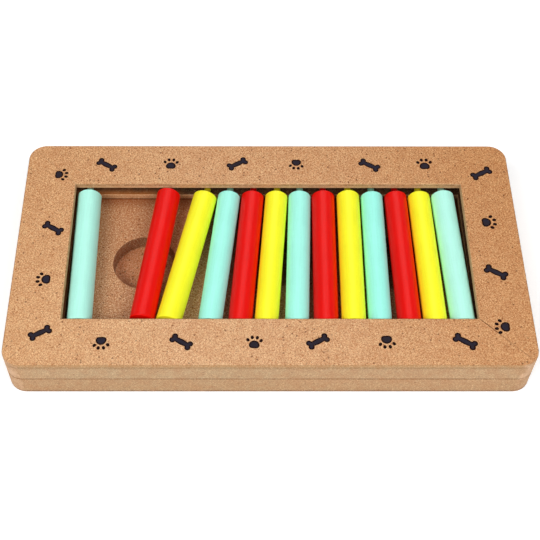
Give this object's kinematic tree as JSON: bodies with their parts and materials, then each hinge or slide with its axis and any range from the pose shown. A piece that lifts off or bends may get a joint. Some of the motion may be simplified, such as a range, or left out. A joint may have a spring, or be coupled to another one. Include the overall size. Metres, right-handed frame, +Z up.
{
  "type": "dog puzzle feeder toy",
  "caption": "Wooden treat tray with wells under a row of painted rods that slide on pegs in a grooved, mitred frame, so a dog noses them aside to reach the food.",
  "frame": {"origin": "middle of the footprint, on the surface that the feet stand on", "axes": "+X along the board's length, to the right as seen from the front; +Y from the front edge to the back; +Z up"},
  "size_m": [0.3, 0.16, 0.0315],
  "materials": {
    "base_wood": "fine wood-fibre board, clear matt lacquer",
    "frame_wood": "speckled wood-fibre board, clear matt lacquer",
    "paint_mint": "turned wood under satin mint paint",
    "paint_red": "turned wood under satin red paint",
    "paint_yellow": "turned wood under satin yellow paint",
    "pad_rubber": "matt"
  },
  "bodies": {
    "board": {"base_board": "base_wood", "front_rail": "frame_wood", "back_rail": "frame_wood", "left_rail": "frame_wood", "right_rail": "frame_wood", "foot_front_left": "pad_rubber", "foot_front_right": "pad_rubber", "foot_back_left": "pad_rubber", "foot_back_right": "pad_rubber"},
    "rod_01": {"rod_01": "paint_mint"},
    "rod_02": {"rod_02": "paint_red"},
    "rod_03": {"rod_03": "paint_yellow"},
    "rod_04": {"rod_04": "paint_mint"},
    "rod_05": {"rod_05": "paint_red"},
    "rod_06": {"rod_06": "paint_yellow"},
    "rod_07": {"rod_07": "paint_mint"},
    "rod_08": {"rod_08": "paint_red"},
    "rod_09": {"rod_09": "paint_yellow"},
    "rod_10": {"rod_10": "paint_mint"},
    "rod_11": {"rod_11": "paint_red"},
    "rod_12": {"rod_12": "paint_yellow"},
    "rod_13": {"rod_13": "paint_mint"}
  },
  "joints": [
    {"name": "rod_01_slide", "type": "slide", "parent": "board", "child": "rod_01", "axis": [1, 0, 0], "range_m": [-0.0007, 0.0213]},
    {"name": "rod_02_slide", "type": "slide", "parent": "board", "child": "rod_02", "axis": [1, 0, 0], "range_m": [-0.0213, 0.0006]},
    {"name": "rod_03_slide", "type": "slide", "parent": "board", "child": "rod_03", "axis": [1, 0, 0], "range_m": [-0.0006, 0.0002]},
    {"name": "rod_04_slide", "type": "slide", "parent": "board", "child": "rod_04", "axis": [1, 0, 0], "range_m": [-0.0002, 0.0005]},
    {"name": "rod_05_slide", "type": "slide", "parent": "board", "child": "rod_05", "axis": [1, 0, 0], "range_m": [-0.0005, 0.0008]},
    {"name": "rod_06_slide", "type": "slide", "parent": "board", "child": "rod_06", "axis": [1, 0, 0], "range_m": [-0.0008, 0.0003]},
    {"name": "rod_07_slide", "type": "slide", "parent": "board", "child": "rod_07", "axis": [1, 0, 0], "range_m": [-0.0003, 0.0003]},
    {"name": "rod_08_slide", "type": "slide", "parent": "board", "child": "rod_08", "axis": [1, 0, 0], "range_m": [-0.0003, 0.0011]},
    {"name": "rod_09_slide", "type": "slide", "parent": "board", "child": "rod_09", "axis": [1, 0, 0], "range_m": [-0.0011, 0.0006]},
    {"name": "rod_10_slide", "type": "slide", "parent": "board", "child": "rod_10", "axis": [1, 0, 0], "range_m": [-0.0006, 0.0008]},
    {"name": "rod_11_slide", "type": "slide", "parent": "board", "child": "rod_11", "axis": [1, 0, 0], "range_m": [-0.0008, 0.0006]},
    {"name": "rod_12_slide", "type": "slide", "parent": "board", "child": "rod_12", "axis": [1, 0, 0], "range_m": [-0.0006, 0.0004]},
    {"name": "rod_13_slide", "type": "slide", "parent": "board", "child": "rod_13", "axis": [1, 0, 0], "range_m": [-0.0004, 0.0003]}
  ]
}
